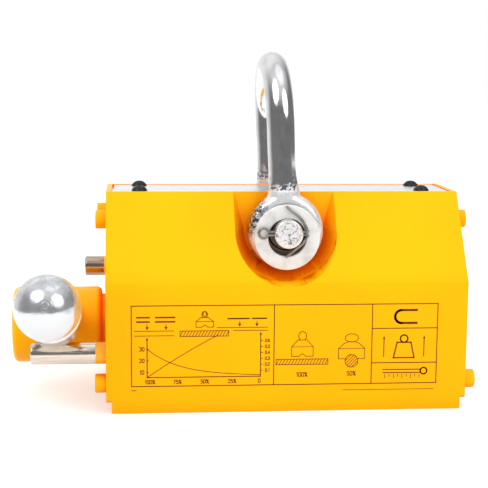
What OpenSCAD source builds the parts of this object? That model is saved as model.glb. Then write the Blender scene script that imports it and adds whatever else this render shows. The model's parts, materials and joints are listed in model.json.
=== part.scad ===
// Permanent lifting magnet, about 400 kg class. X runs along the body, Y from the lever
// side (front) to the back, Z up. Origin: middle of the V groove, level with the pole faces.

/* [Body block] */
// Length of the two pole shoes, without the end covers
body_l = 160; // [150:1:180]
// Width over both pole shoes
body_w = 92; // [88:1:100]
// Height of the block
body_h = 98; // [96:1:104]
// Height of the upright sides, where the slope starts
side_h = 59; // [57:1:60]
// Width of the flat top
top_w = 38; // [38:1:42]
// Thickness of each end cover
cover_t = 2.5; // [2:0.5:4]
// Height of an end cover's lower edge above the pole faces
cover_z = 5; // [3:0.5:7]
// Depth of the V groove for round bars
vee_d = 6.5; // [4:0.5:7]
// Half width of the V groove
vee_hw = 14; // [10:1:16]

/* [Rotor and lever] */
// Height of the rotor's axis
rotor_z = 32; // [31:0.5:33]
// Radius of the bore between the pole shoes
bore_r = 21; // [20.8:0.1:22]
// Radius of the drive shaft
shaft_r = 10; // [9:0.5:10]
// Outer radius of the hub
hub_r = 18; // [18:0.5:20]
// Gap between the hub and the left end cover
hub_gap = 2.5; // [2.5:0.5:4]
// Length of the hub along the shaft
hub_l = 41.8; // [41.8:0.2:44]
// Distance of the lever from the left end cover
lever_x = 22.6; // [22.4:0.2:23.6]
// Angle of the lever above level when it rests on a stop pin
lever_a = 16; // [15.7:0.1:16.4]
// Radius of the lever's neck, which touches the stop pins
neck_r = 10.6; // [9:0.1:10.7]
// Radius of the lever's grip
grip_r = 13.6; // [12:0.1:13.8]
// Radius of the ball at the lever's end
ball_r = 13.9; // [13:0.1:15]
// Distance of the ball's centre from the rotor's axis
ball_s = 93.6; // [90:0.2:110]

/* [Shackle] */
// Height of the shackle pin's axis
pin_z = 81; // [81:0.5:82]
// Radius of the shackle pin
pin_r = 8; // [7:0.5:8]
// Radius of the shackle's round bar
bow_r = 6.5; // [6:0.25:6.5]
// Half the distance between the shackle's legs, centre to centre
leg_y = 27; // [27:0.5:28]
// Outer radius of the shackle's eyes
eye_r = 17.4; // [15:0.1:17.6]
// Height of the shackle's crown above the pin's axis, to the outside
bow_h = 81.7; // [75:0.1:95]
// How far the shackle leans towards the lever end at rest, in degrees
lean = 3; // [0:1:5]

/* [Pins and screws] */
// Radius of the two long stop pins
stop_r = 5; // [4.5:0.1:5]
// Length of a long stop pin outside the cover
stop_l = 33.8; // [32:0.2:36]
// Distance of the long stop pins from the middle plane
stop_y = 38; // [38:0.5:39]
// Height of the long stop pins
stop_z = 26.4; // [26:0.1:26.6]
// Radius of the short keeper pin
keep_r = 4.8; // [4:0.1:5]
// Length of the keeper pin outside the cover
keep_l = 11.4; // [10.4:0.2:11.6]
// Place of the keeper pin behind the middle plane
keep_y = 25; // [24.6:0.1:25.4]
// Height of the keeper pin
keep_z = 56.2; // [56.2:0.1:56.8]
// Thickness of the plate on top
plate_t = 1; // [1:0.25:1.5]

/* [Hidden] */
$fn = 64;

e = 0.01;                                // overshoot of a cutter past a face
hw = body_w / 2;
end_x = body_l / 2;                      // end of the pole shoes
face_x = end_x + cover_t;                // outside of an end cover
top_hw = top_w / 2;
slope = (hw - top_hw) / (body_h - side_h);

// the slot that holds the fixed magnets, and the strips that part the poles
slot_hw = 8;
strip_hw = 7;
magnet_z0 = 56;
magnet_z1 = 71;
magnet_l = 46;                           // length of one fixed magnet
magnet_gap = 1;

// end covers and bushes
spigot_l = 9;                            // the cover's boss inside the bore
spigot_r = bore_r - 0.1;
neck_in_r = 14.5;                        // the hub's own neck, which runs in the cover
neck_in_l = 1;                           // how far it reaches into the cover at rest
counter_r = 15;
counter_d = 3.7;
bush_wall = 2.5;
bush_flange_r = 15;
bush_flange_t = 1.5;
fit = 0.06;                              // running clearance on the radius
slack = 0.05;                            // clearance of fixed pieces on the radius
cover_screws = [[40, 12.8], [15.5, 84.7]];  // [distance from the middle plane, height]
m5_r = 2.5;
m5_head_r = 4.3;
m5_head_h = 5;

// rotor, built with its own +Z along the lever and turned into place
rotor_r = bore_r - 0.4;
rotor_end = end_x - spigot_l - bush_flange_t - 0.2;
flange_t = 6;
half_end = rotor_end - flange_t;
slab_hw = 6;                             // half thickness of the rotor's magnets
slab_w = 38;
rotor_bolts = [[13, 8], [13, -8]];       // [along the lever, across it] on each half
m4_r = 2;
m4_head_r = 3.5;
m4_head_h = 3.2;

// shaft end and hub
hub_in = -face_x - hub_gap;              // the hub's inner face
hub_out = hub_in - hub_l;
shaft_end = hub_out + 10.8;
key_w = 6;
key_x = [hub_in - 27, hub_in - 5];
key_s = [6.5, 12.4];                     // the key's foot and top, from the axis
washer_r = 13;
washer_t = 1.5;
recess_r = 13.4;
plug_t = 2.4;
hub_round = 2.5;
lever_cx = -face_x - lever_x;
seat_s = 15.2;                           // the lever's seat on the hub, from the axis
stud_r = 6;
slide_in = 2.3;                          // how far the hub can be pushed in

// detent between the hub and the shaft: a ball pushed into one of two grooves
detent_x = hub_in - 10;
detent_r = 2;
detent_s = shaft_r - 0.07 + detent_r;    // the ball's centre, from the axis
groove_r = 3.2;
groove_s = shaft_r - 0.3 + groove_r;
grub_r = 3;
grub_l = 1.8;
grub_s = hub_r - 0.3 - grub_l;           // the grub screw's inner end, from the axis

ball_flat = 12.2;                        // the flat on the ball, from its centre

// plate on top, and its domed screws
plate_l = 158;
plate_w = 35.2;
plate_top = body_h - 0.3;
plate_floor = plate_top - plate_t;       // floor of the recess that the plate lies in
plate_round = 1.5;
plate_screw_x = [-67, 67];
plate_screw_y = 11.5;
dome_r = 3.8;
dome_h = 2.7;

// pocket for a shackle eye, with drafted walls
pocket_r = 23.5;
pocket_floor_r = 18.7;
draft_y = top_hw + (body_h - pin_z) * slope;  // where the wall meets the slope at pin height

// shackle and pin
eye_out = leg_y + bow_r;
neck_l = 14;                             // length of the taper above the eye
end_r = 6.5;                             // turned-down end of the pin
pin_front = 43.2;
pin_step = 33.6;
pin_head_r = 12.5;
pin_head_t = 5;
ring_r = 15;
ring_hole_r = 8.75;
ring_t = 3;
ring_drop = ring_hole_r - end_r - 0.02;    // the loose washer hangs on the pin's thin end
cotter_y = 38.7;
cotter_r = 1.35;

paint = [1, 0.76, 0.03];
steel = [0.72, 0.72, 0.74];
dark_steel = [0.45, 0.45, 0.47];

// ---- shared shapes

// a flat shape drawn in Y and Z, made into a bar along X from x0 to x1
module along_x(x0, x1) {
  translate([x0, 0, 0]) rotate([90, 0, 90]) linear_extrude(x1 - x0) children();
}

// a round bar along X
module bar_x(x0, x1, r) {
  translate([x0, 0, 0]) rotate([0, 90, 0]) cylinder(h = x1 - x0, r = r);
}

// a round bar along Y
module bar_y(y0, y1, r) {
  translate([0, y0, 0]) rotate([-90, 0, 0]) cylinder(h = y1 - y0, r = r);
}

// a round bar along +Z whose far edge is rounded by c
module round_bar(l, r, c) {
  rotate_extrude() {
    square([r - c, l]);
    square([r, l - c]);
    translate([r - c, l - c]) circle(c);
  }
}

// a round wire along points near a plane of constant Y, as a tube with flat sides
module wire(path, r) {
  sides = 8;
  n = len(path) - 1;
  function along(i) = let (d = path[min(i + 1, n)] - path[max(i - 1, 0)]) d / norm(d);
  function side(i) = let (c = cross(along(i), [0, 1, 0])) c / norm(c);
  polyhedron(
    points = [
      for (i = [0:n]) for (k = [0:sides - 1]) let (a = 360 * k / sides)
        path[i] + r * (cos(a) * side(i) + sin(a) * cross(side(i), along(i)))
    ],
    faces = tube_faces(n, sides)
  );
}

// faces of a tube of n + 1 rings, with both ends closed
function tube_faces(n, sides) = [
  [for (k = [sides - 1:-1:0]) k],
  for (i = [0:n - 1]) for (k = [0:sides - 1]) let (a = i * sides, b = a + sides, j = (k + 1) % sides)
    [a + k, a + j, b + j, b + k],
  [for (k = [0:sides - 1]) n * sides + k]
];

// a cap screw along X: its head outside x0, its shank running to +X
module cap_screw(head_r, head_h, r, l) {
  difference() {
    union() {
      rotate([0, -90, 0]) round_bar(head_h, head_r, 0.5);
      bar_x(0, l, r);
    }
    rotate([0, -90, 0]) translate([0, 0, head_h * 0.45]) cylinder(h = head_h, r = r * 0.92, $fn = 6);
  }
}

// puts a piece in the rotor's frame: +Z along the lever, +Y across it
module in_rotor() {
  translate([0, 0, rotor_z]) rotate([90 - lever_a, 0, 0]) children();
}

// puts a piece on the left end, and on the right end as its mirror image
module on_end(side) {
  if (side < 0) children();
  else mirror([1, 0, 0]) children();
}

// ---- body

module body_outline() {
  polygon([[-hw, 0], [hw, 0], [hw, side_h], [top_hw, body_h], [-top_hw, body_h], [-hw, side_h]]);
}

module vee() {
  polygon([[-vee_hw - e, -e], [vee_hw + e, -e], [0, vee_d]]);
}

module bore_2d(r) {
  translate([0, rotor_z]) circle(r);
}

// the drafted pocket on the front slope, open upwards and outwards
module pocket() {
  translate([0, 0, pin_z]) {
    bar_y(-hw - 1, -draft_y + e, pocket_r);
    translate([0, -draft_y, 0]) rotate([-90, 0, 0])
      cylinder(h = draft_y - top_hw, r1 = pocket_r, r2 = pocket_floor_r);
  }
  out_y = -hw - 1;
  top_z = body_h + 5;
  polyhedron(
    points = [
      for (s = [-1, 1]) each [
        [s * pocket_floor_r, -top_hw, pin_z],
        [s * pocket_r, -top_hw, body_h],
        [s * pocket_r, -top_hw, top_z],
        [s * pocket_r, out_y, top_z],
        [s * pocket_r, out_y, pin_z],
        [s * pocket_r, -draft_y, pin_z]
      ]
    ],
    faces = [
      [0, 1, 5], [1, 2, 3, 4, 5], [11, 7, 6], [11, 10, 9, 8, 7],
      [0, 6, 7, 1], [1, 7, 8, 2], [2, 8, 9, 3], [3, 9, 10, 4], [4, 10, 11, 5], [5, 11, 6, 0]
    ]
  );
}

module front_blank() {
  difference() {
    along_x(-end_x, end_x) difference() {
      intersection() {
        body_outline();
        translate([-hw, 0]) square([hw, body_h]);
      }
      bore_2d(bore_r);
      translate([-slot_hw, rotor_z]) square([slot_hw + e, body_h]);
      translate([-strip_hw, -e]) square([strip_hw + e, rotor_z]);
      vee();
    }
    pocket();
    translate([0, 0, pin_z]) bar_y(-hw, e, pin_r + slack);
    for (side = [-1, 1]) on_end(side) {
      for (p = cover_screws) translate([-end_x, -p[0], p[1]]) bar_x(-e, 13, m5_r + slack);
    }
    translate([-end_x - e, -plate_w / 2 - slack, plate_floor]) cube([body_l + 2 * e, plate_w, plate_t + 1]);
    for (x = plate_screw_x) translate([x, -plate_screw_y, plate_floor - 10])
      cylinder(h = 12, r = m4_r + slack);
    translate([-end_x, -stop_y, stop_z]) bar_x(-e, 10, stop_r + slack);
  }
}

module front_pole() {
  color(paint) front_blank();
}

module rear_pole() {
  color(paint) difference() {
    mirror([0, 1, 0]) front_blank();
    translate([-end_x, keep_y, keep_z]) bar_x(-e, 10, keep_r + slack);
  }
}

// brass strip under the rotor, with the bottom of the V groove in it
module lower_separator() {
  color("goldenrod") along_x(-end_x, end_x) difference() {
    translate([-strip_hw, 0]) square([2 * strip_hw, rotor_z - bore_r / 2]);
    bore_2d(bore_r);
    vee();
  }
}

// brass strip over the rotor, under the fixed magnets
module bore_separator() {
  color("goldenrod") along_x(-end_x, end_x) difference() {
    translate([-slot_hw, rotor_z + bore_r / 2]) square([2 * slot_hw, magnet_z0 - rotor_z - bore_r / 2]);
    bore_2d(bore_r);
  }
}

// three fixed magnets end to end
module stator_magnets() {
  pitch = magnet_l + magnet_gap;
  color(steel) for (i = [-1:1]) {
    translate([i * pitch - magnet_l / 2, -slot_hw + slack, magnet_z0])
      cube([magnet_l, 2 * (slot_hw - slack), magnet_z1 - magnet_z0]);
  }
}

// aluminium filler between the fixed magnets and the plate on top
module magnet_spacer() {
  color("lightgray") difference() {
    translate([-end_x, -slot_hw + slack, magnet_z1])
      cube([body_l, 2 * (slot_hw - slack), plate_floor - magnet_z1]);
    translate([0, 0, pin_z]) bar_y(-hw, hw, pin_r + slack);
  }
}

// ---- end covers

module cover_outline() {
  c = 1.5;
  polygon([
    [-hw + c, cover_z], [hw - c, cover_z], [hw, cover_z + c], [hw, side_h],
    [top_hw, body_h], [-top_hw, body_h], [-hw, side_h], [-hw, cover_z + c]
  ]);
  for (s = [-1, 1]) translate([s * (hw - c), cover_z + c]) circle(c);
}

module cover_blank() {
  difference() {
    union() {
      along_x(-face_x, -end_x) difference() {
        cover_outline();
        vee();
      }
      translate([0, 0, rotor_z]) bar_x(-end_x - e, -end_x + spigot_l, spigot_r);
    }
    for (s = [-1, 1]) for (p = cover_screws) {
      translate([-face_x, s * p[0], p[1]]) bar_x(-e, cover_t + e, m5_r + 0.25);
    }
  }
}

module left_end_cover() {
  color(paint) difference() {
    cover_blank();
    translate([0, 0, rotor_z]) {
      bar_x(-face_x - e, -end_x + spigot_l + e, shaft_r + fit + bush_wall + slack);
      bar_x(-face_x - e, -face_x + counter_d, counter_r);
    }
    for (s = [-1, 1]) translate([-face_x, s * stop_y, stop_z]) bar_x(-e, cover_t + e, stop_r + slack);
    translate([-face_x, keep_y, keep_z]) bar_x(-e, cover_t + e, keep_r + slack);
  }
}

module right_end_cover() {
  color(paint) mirror([1, 0, 0]) difference() {
    cover_blank();
    translate([0, 0, rotor_z])
      bar_x(-face_x + counter_d, -end_x + spigot_l + e, shaft_r + fit + bush_wall + slack);
  }
}

module cover_screw_set() {
  for (s = [-1, 1]) for (p = cover_screws) {
    translate([-face_x, s * p[0], p[1]]) cap_screw(m5_head_r, m5_head_h, m5_r, cover_t + 11);
  }
}

module left_cover_screws() {
  color(paint) cover_screw_set();
}

module right_cover_screws() {
  color(paint) mirror([1, 0, 0]) cover_screw_set();
}

// flanged bronze bush, its flange towards the rotor
module bush() {
  inner = -end_x + spigot_l;
  r = shaft_r + fit;
  translate([0, 0, rotor_z]) difference() {
    union() {
      bar_x(-face_x + counter_d, inner + e, r + bush_wall);
      bar_x(inner, inner + bush_flange_t, bush_flange_r);
    }
    bar_x(-face_x, inner + bush_flange_t + e, r);
  }
}

module left_bush() {
  color("peru") bush();
}

module right_bush() {
  color("peru") mirror([1, 0, 0]) bush();
}

// a dowel pressed into the pole, standing out of the left cover
module end_pin(y, z, r, l) {
  translate([-end_x + 9.5, y, z]) rotate([0, -90, 0]) round_bar(9.5 + cover_t + l, r, 0.8);
}

module front_stop_pin() {
  color(steel) end_pin(-stop_y, stop_z, stop_r, stop_l);
}

module rear_stop_pin() {
  color(steel) end_pin(stop_y, stop_z, stop_r, stop_l);
}

module keeper_pin() {
  color(steel) end_pin(keep_y, keep_z, keep_r, keep_l);
}

// ---- top plate, let into the block between two low lips

module top_plate() {
  color("silver") difference() {
    translate([0, 0, plate_floor]) linear_extrude(plate_t) {
      square([plate_l - 2 * plate_round, plate_w], center = true);
      square([plate_l, plate_w - 2 * plate_round], center = true);
      for (sx = [-1, 1]) for (sy = [-1, 1]) {
        translate([sx * (plate_l / 2 - plate_round), sy * (plate_w / 2 - plate_round)])
          circle(plate_round);
      }
    }
    for (x = plate_screw_x) for (s = [-1, 1]) {
      translate([x, s * plate_screw_y, plate_floor - e]) cylinder(h = plate_t + 1, r = m4_r + 0.2);
    }
  }
}

module top_plate_screws() {
  cap_r = (dome_r * dome_r + dome_h * dome_h) / (2 * dome_h);
  color([0.08, 0.08, 0.08]) for (x = plate_screw_x) for (s = [-1, 1]) {
    translate([x, s * plate_screw_y, plate_top]) difference() {
      union() {
        intersection() {
          translate([0, 0, dome_h - cap_r]) sphere(cap_r);
          cylinder(h = dome_h + 1, r = dome_r + 1);
        }
        translate([0, 0, -plate_t - 9.5]) cylinder(h = plate_t + 9.5 + 1, r = m4_r);
      }
      translate([0, 0, dome_h - 1.4]) cylinder(h = 2, r = 1.45, $fn = 6);
    }
  }
}

// ---- shackle pin

module shackle_pin() {
  color(steel) translate([0, 0, pin_z]) difference() {
    union() {
      bar_y(-pin_step, eye_out + 0.6 + e, pin_r);
      translate([0, -pin_step + e, 0]) rotate([90, 0, 0]) round_bar(pin_front - pin_step, end_r, 0.7);
      translate([0, eye_out + 0.6, 0]) rotate([-90, 0, 0]) round_bar(pin_head_t, pin_head_r, 1.2);
    }
    translate([0, -cotter_y, 0]) bar_x(-end_r - 1, end_r + 1, cotter_r + 0.15);
  }
}

module pin_washer() {
  color(steel) translate([0, 0, pin_z - ring_drop]) difference() {
    bar_y(-eye_out - 0.3 - ring_t, -eye_out - 0.3, ring_r);
    bar_y(-eye_out - 1 - ring_t, -eye_out, ring_hole_r);
  }
}

// split pin: one wire, folded into an eye on the left, its two legs bent back on the right
module cotter_pin() {
  wire_r = 0.65;
  eye_x = -11;
  eye_ring = 2.2;
  gap_z = wire_r + 0.01;                 // from the fold's middle plane to each half of the shank
  neck_x = -7;                           // where the eye's ring closes to the shank
  bend_x = 8;                            // where the legs leave the pin
  upper = [
    [-0.8, 0.8, 12.2], [2.1, 0.6, 9.6], [4.2, 0.4, 8.2], [6, 0.3, 6.4], [7.8, 0.1, 3.6], [8.6, 0, 1.6]
  ];
  lower = [[8.7, 0, -1.5], [7.8, 0.1, -3.2], [6.4, 0.3, -5.2], [3, 0.6, -8], [-0.8, 0.8, -11]];
  fold = [for (a = [30:18.75:330]) [eye_x + eye_ring * cos(a), 0, eye_ring * sin(a)]];
  color(dark_steel) translate([0, -cotter_y, pin_z]) wire([
    each upper, [bend_x, 0, gap_z], [neck_x, 0, gap_z], each fold,
    [neck_x, 0, -gap_z], [bend_x, 0, -gap_z], each lower
  ], wire_r);
}

// ---- rotor

module rotor_half_blank() {
  in_rotor() difference() {
    bar_x(-half_end, half_end, rotor_r);
    translate([-end_x, -bore_r, -bore_r - e]) cube([body_l, 2 * bore_r, bore_r + slab_hw + e]);
    for (side = [-1, 1]) on_end(side) {
      for (p = rotor_bolts) translate([-half_end - e, p[1], p[0]]) bar_x(0, 12, m4_r + slack);
    }
  }
}

module rotor_front_half() {
  color(dark_steel) rotor_half_blank();
}

module rotor_rear_half() {
  color(dark_steel) translate([0, 0, 2 * rotor_z]) rotate([180, 0, 0]) rotor_half_blank();
}

// three magnets end to end between the two steel halves
module rotor_magnets() {
  pitch = 2 * half_end / 3;
  color("silver") in_rotor() for (i = [-1:1]) {
    translate([i * pitch - pitch / 2 + 0.25, -slab_w / 2, -slab_hw])
      cube([pitch - 0.5, slab_w, 2 * slab_hw]);
  }
}

// an end flange, bolted to both halves
module rotor_flange() {
  difference() {
    bar_x(-rotor_end, -half_end, rotor_r - 0.2);
    for (s = [-1, 1]) for (p = rotor_bolts) translate([-rotor_end, p[1], s * p[0]]) {
      bar_x(-e, flange_t + e, m4_r + slack);
      bar_x(-e, m4_head_h, m4_head_r + slack);
    }
  }
}

// left flange with the shaft that carries the hub
module drive_shaft() {
  color(dark_steel) in_rotor() difference() {
    union() {
      rotor_flange();
      bar_x(shaft_end, -rotor_end + e, shaft_r);
    }
    key_block([key_x[0] - slack, key_x[1] + slack], key_s[0], key_w + 2 * slack, shaft_r + 1);
    for (x = [detent_x, detent_x + slide_in]) translate([x, 0, 0]) rotate([0, 90, 0])
      rotate_extrude() translate([groove_s, 0]) circle(groove_r);
    bar_x(shaft_end - e, shaft_end + 15, 3 + slack);
  }
}

// right flange with the short journal
module stub_shaft() {
  color(dark_steel) mirror([1, 0, 0]) in_rotor() union() {
    rotor_flange();
    bar_x(-end_x + 1.5, -rotor_end + e, shaft_r);
  }
}

module rotor_screw_set() {
  in_rotor() for (s = [-1, 1]) for (p = rotor_bolts) translate([-rotor_end, p[1], s * p[0]]) {
    difference() {
      union() {
        bar_x(0, m4_head_h, m4_head_r);
        bar_x(0, flange_t + 10, m4_r);
      }
      bar_x(-e, 1.8, 1.7, $fn = 6);
    }
  }
}

module left_rotor_screws() {
  color([0.15, 0.15, 0.15]) rotor_screw_set();
}

module right_rotor_screws() {
  color([0.15, 0.15, 0.15]) mirror([1, 0, 0]) rotor_screw_set();
}

module key_block(x, foot, w, top) {
  translate([x[0], foot, -w / 2]) cube([x[1] - x[0], top - foot, w]);
}

module shaft_key() {
  color(steel) in_rotor() key_block(key_x, key_s[0], key_w, key_s[1]);
}

// holds the hub on the shaft
module retaining_washer() {
  color(steel) in_rotor() difference() {
    bar_x(shaft_end - washer_t, shaft_end, washer_r);
    bar_x(shaft_end - washer_t - e, shaft_end + e, 3.2);
  }
}

module retaining_screw() {
  color([0.15, 0.15, 0.15]) in_rotor() translate([shaft_end - washer_t, 0, 0]) difference() {
    union() {
      rotate([0, -90, 0]) round_bar(3.3, 5.2, 1.4);
      bar_x(0, washer_t + 13, 3);
    }
    rotate([0, -90, 0]) translate([0, 0, 1.2]) cylinder(h = 4, r = 2.3, $fn = 6);
  }
}

// ---- handle

// a radial cutter or piece on the hub, from distance s0 to s1 along the lever
module radial(x, s0, s1, r) {
  translate([x, 0, s0]) cylinder(h = s1 - s0, r = r);
}

module handle_hub() {
  mouth = hub_in + hub_gap + neck_in_l;  // inner end of the hub's neck
  shoulder = shaft_end + slack;
  color(paint) in_rotor() difference() {
    union() {
      translate([(hub_in + hub_out) / 2, 0, 0]) for (s = [-1, 1]) rotate([0, s * 90, 0])
        round_bar(hub_l / 2, hub_r, hub_round);
      bar_x(hub_in - e, mouth, neck_in_r);
    }
    bar_x(hub_out - e, mouth + e, shaft_r + fit);
    bar_x(hub_out - e, shoulder, recess_r);
    key_block([hub_out, mouth + e], 0, key_w + 0.12, key_s[1] + 0.25);
    radial(lever_cx, 0, hub_r, stud_r + slack);
    radial(lever_cx, seat_s, hub_r + 1, neck_r + 0.4);
    radial(detent_x, -hub_r - 1, -grub_s, grub_r + slack);
    radial(detent_x, -grub_s - e, 0, detent_r + slack);
  }
}

// turned lever: threaded stud, neck, flared grip and the stud for the ball
module handle_lever() {
  flare_s = 40;
  grip_s = [52, 78];
  c = 2;
  color(steel) in_rotor() translate([lever_cx, 0, 0]) rotate_extrude() {
    translate([0, shaft_r + 0.6]) square([stud_r, seat_s - shaft_r - 0.6 + e]);
    translate([0, seat_s]) square([neck_r, flare_s - seat_s]);
    polygon([
      [0, flare_s - e], [neck_r, flare_s - e],
      for (t = [0:1/12:1])
        [neck_r + (grip_r - neck_r) * (1 - cos(180 * t)) / 2, flare_s + (grip_s[0] - flare_s) * t],
      [0, grip_s[0]]
    ]);
    translate([0, grip_s[0] - e]) square([grip_r, grip_s[1] - c - grip_s[0] + e]);
    translate([0, grip_s[1] - c - e]) square([grip_r - c, c + e]);
    translate([grip_r - c, grip_s[1] - c]) circle(c);
    translate([0, grip_s[1] - e]) square([7, ball_s - ball_flat - grip_s[1] + e]);
    translate([0, grip_s[1]]) square([4, ball_s - grip_s[1]]);
  }
}

module handle_ball() {
  color("gainsboro") in_rotor() translate([lever_cx, 0, ball_s]) difference() {
    sphere(ball_r, $fn = 96);
    translate([0, 0, -2 * ball_r]) cylinder(h = 2 * ball_r - ball_flat, r = ball_r);
    translate([0, 0, -ball_r]) cylinder(h = ball_r + 0.5, r = 4 + slack);
  }
}

// yellow cap that closes the hub's outer end
module hub_plug() {
  color(paint) in_rotor() difference() {
    translate([hub_out + plug_t, 0, 0]) rotate([0, -90, 0]) round_bar(plug_t, recess_r - slack, 0.6);
    translate([hub_out - e, -recess_r * 0.45, -0.9]) cube([1.1, recess_r * 0.9, 1.8]);
  }
}

// grub screw, spring and ball that click the hub in or out
module detent_screw() {
  color([0.15, 0.15, 0.15]) in_rotor() translate([detent_x, 0, -grub_s - grub_l]) difference() {
    cylinder(h = grub_l, r = grub_r);
    translate([0, 0, -e]) cylinder(h = 1.2, r = 1.6, $fn = 6);
  }
}

// rings of 8 points along a helix, skinned into one tube
module detent_spring() {
  foot = -grub_s + 0.02;
  wire_r = 0.2;
  coil_r = 1.3;
  top = -detent_s - sqrt(detent_r * detent_r - (coil_r - wire_r) * (coil_r - wire_r)) - 0.02;
  turns = 3;
  n = 16 * turns;
  sides = 8;
  lift = (top - foot - 2 * wire_r) / n;
  function centre(i) = [
    coil_r * cos(360 * turns * i / n), coil_r * sin(360 * turns * i / n), foot + wire_r + lift * i
  ];
  function out(i) = [cos(360 * turns * i / n), sin(360 * turns * i / n), 0];
  color(steel) in_rotor() translate([detent_x, 0, 0]) polyhedron(
    points = [
      for (i = [0:n]) for (k = [0:sides - 1])
        centre(i) + wire_r * (cos(360 * k / sides) * out(i) + sin(360 * k / sides) * [0, 0, 1])
    ],
    faces = tube_faces(n, sides)
  );
}

module detent_ball() {
  color("silver") in_rotor() translate([detent_x, 0, -detent_s]) sphere(detent_r);
}

// ---- shackle

// one leg: flat eye, flared neck and the straight bar up to the crown
module shackle_leg() {
  crown_s = bow_h - bow_r - leg_y;
  translate([0, leg_y, 0]) {
    bar_y(-bow_r, bow_r, eye_r);
    translate([0, 0, ring_r + 0.5]) cylinder(h = neck_l, r1 = bow_r + 0.8, r2 = bow_r);
    cylinder(h = crown_s + e, r = bow_r);
  }
}

module shackle() {
  crown_s = bow_h - bow_r - leg_y;
  color(steel) translate([0, 0, pin_z]) rotate([0, -lean, 0]) difference() {
    union() {
      shackle_leg();
      mirror([0, 1, 0]) shackle_leg();
      translate([0, 0, crown_s]) rotate([90, 0, 90]) rotate_extrude(angle = 180)
        translate([leg_y, 0]) circle(bow_r);
    }
    bar_y(-eye_out - 1, eye_out + 1, pin_r + 0.1);
  }
}

front_pole();
rear_pole();
lower_separator();
bore_separator();
stator_magnets();
magnet_spacer();
left_end_cover();
right_end_cover();
left_cover_screws();
right_cover_screws();
left_bush();
right_bush();
front_stop_pin();
rear_stop_pin();
keeper_pin();
top_plate();
top_plate_screws();
shackle_pin();
pin_washer();
cotter_pin();
rotor_front_half();
rotor_rear_half();
rotor_magnets();
drive_shaft();
stub_shaft();
left_rotor_screws();
right_rotor_screws();
shaft_key();
retaining_washer();
retaining_screw();
handle_hub();
handle_lever();
handle_ball();
hub_plug();
detent_screw();
detent_spring();
detent_ball();
shackle();
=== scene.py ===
"""Looks of the lifting magnet: materials, printed chart, softened edges and forged shackle.

Lengths are written in millimetres and turned into metres by mm(); the frame is the CAD's own.
"""

import json
import math

import bmesh
import bpy
from mathutils import Matrix, Vector, noise


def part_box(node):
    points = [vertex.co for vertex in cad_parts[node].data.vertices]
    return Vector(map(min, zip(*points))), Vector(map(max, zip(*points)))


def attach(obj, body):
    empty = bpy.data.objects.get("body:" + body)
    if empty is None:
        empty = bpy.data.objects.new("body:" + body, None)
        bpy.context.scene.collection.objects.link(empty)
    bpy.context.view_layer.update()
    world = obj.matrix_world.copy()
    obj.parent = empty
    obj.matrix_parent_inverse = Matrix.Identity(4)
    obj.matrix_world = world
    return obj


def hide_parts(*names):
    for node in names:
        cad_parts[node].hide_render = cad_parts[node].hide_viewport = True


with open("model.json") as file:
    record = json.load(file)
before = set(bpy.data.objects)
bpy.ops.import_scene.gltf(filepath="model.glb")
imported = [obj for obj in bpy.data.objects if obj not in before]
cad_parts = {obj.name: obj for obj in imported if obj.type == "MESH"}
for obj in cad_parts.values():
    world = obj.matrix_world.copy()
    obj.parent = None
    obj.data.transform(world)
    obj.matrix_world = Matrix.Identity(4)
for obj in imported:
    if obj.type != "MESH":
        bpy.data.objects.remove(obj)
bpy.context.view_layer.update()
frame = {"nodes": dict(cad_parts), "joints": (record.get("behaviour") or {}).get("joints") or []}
nodes = frame["nodes"]

MM = 0.001


def mm(*values):
    """Millimetres to metres: one number, or a vector from several."""
    return values[0] * MM if len(values) == 1 else Vector(values) * MM


def box_mm(node):
    """Lowest and highest corner of a CAD node, in millimetres."""
    low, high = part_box(node)
    return low / MM, high / MM


def joint(name):
    """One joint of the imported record."""
    return next(j for j in frame["joints"] if j["name"] == name)


# ---------------------------------------------------------------- driving sizes, from the frame

pole_low, pole_high = box_mm("front_pole")
FRONT_Y = pole_low.y
BLOCK_X = pole_high.x
COVER_X = box_mm("right_end_cover")[1].x
PIN_TIP_Y = box_mm("shackle_pin")[0].y
PIN_Z = joint("shackle_swing")["pos_m"][2] / MM
ROTOR_Z = joint("rotor_turn")["pos_m"][2] / MM

# sizes of the part's source that the frame doesn't carry
SIDE_Z = 59.0                       # height of the crease where the slope starts
TOP_Y = 19.0                        # half width of the flat top
BORE_R = 21.0                       # bore between the pole shoes
SLOT_Y = 8.0                        # half width of the slot for the fixed magnets
POCKET_R = 23.5                     # pocket for a shackle eye
LEVER_X = -105.1                    # the lever's axis
LEVER_TILT = math.radians(16)       # above level, on the front stop pin
BALL_S = 93.6                       # from the rotor's axis to the ball's centre
BALL_R = 13.9
BALL_FLAT = 12.2                    # from the ball's centre to its flat
BAR_R = 6.5                         # the shackle's round bar
LEG_Y = 27.0                        # half the distance between its legs
EYE_R = 17.4
PIN_HOLE_R = 8.3
CROWN_UP = 81.7 - BAR_R - LEG_Y     # length of a leg, from the pin to the crown's arc
LEAN = math.radians(3)              # of the shackle at rest
COTTER_Y = -38.7                    # plane of the split pin


# ---------------------------------------------------------------- material tools

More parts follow.
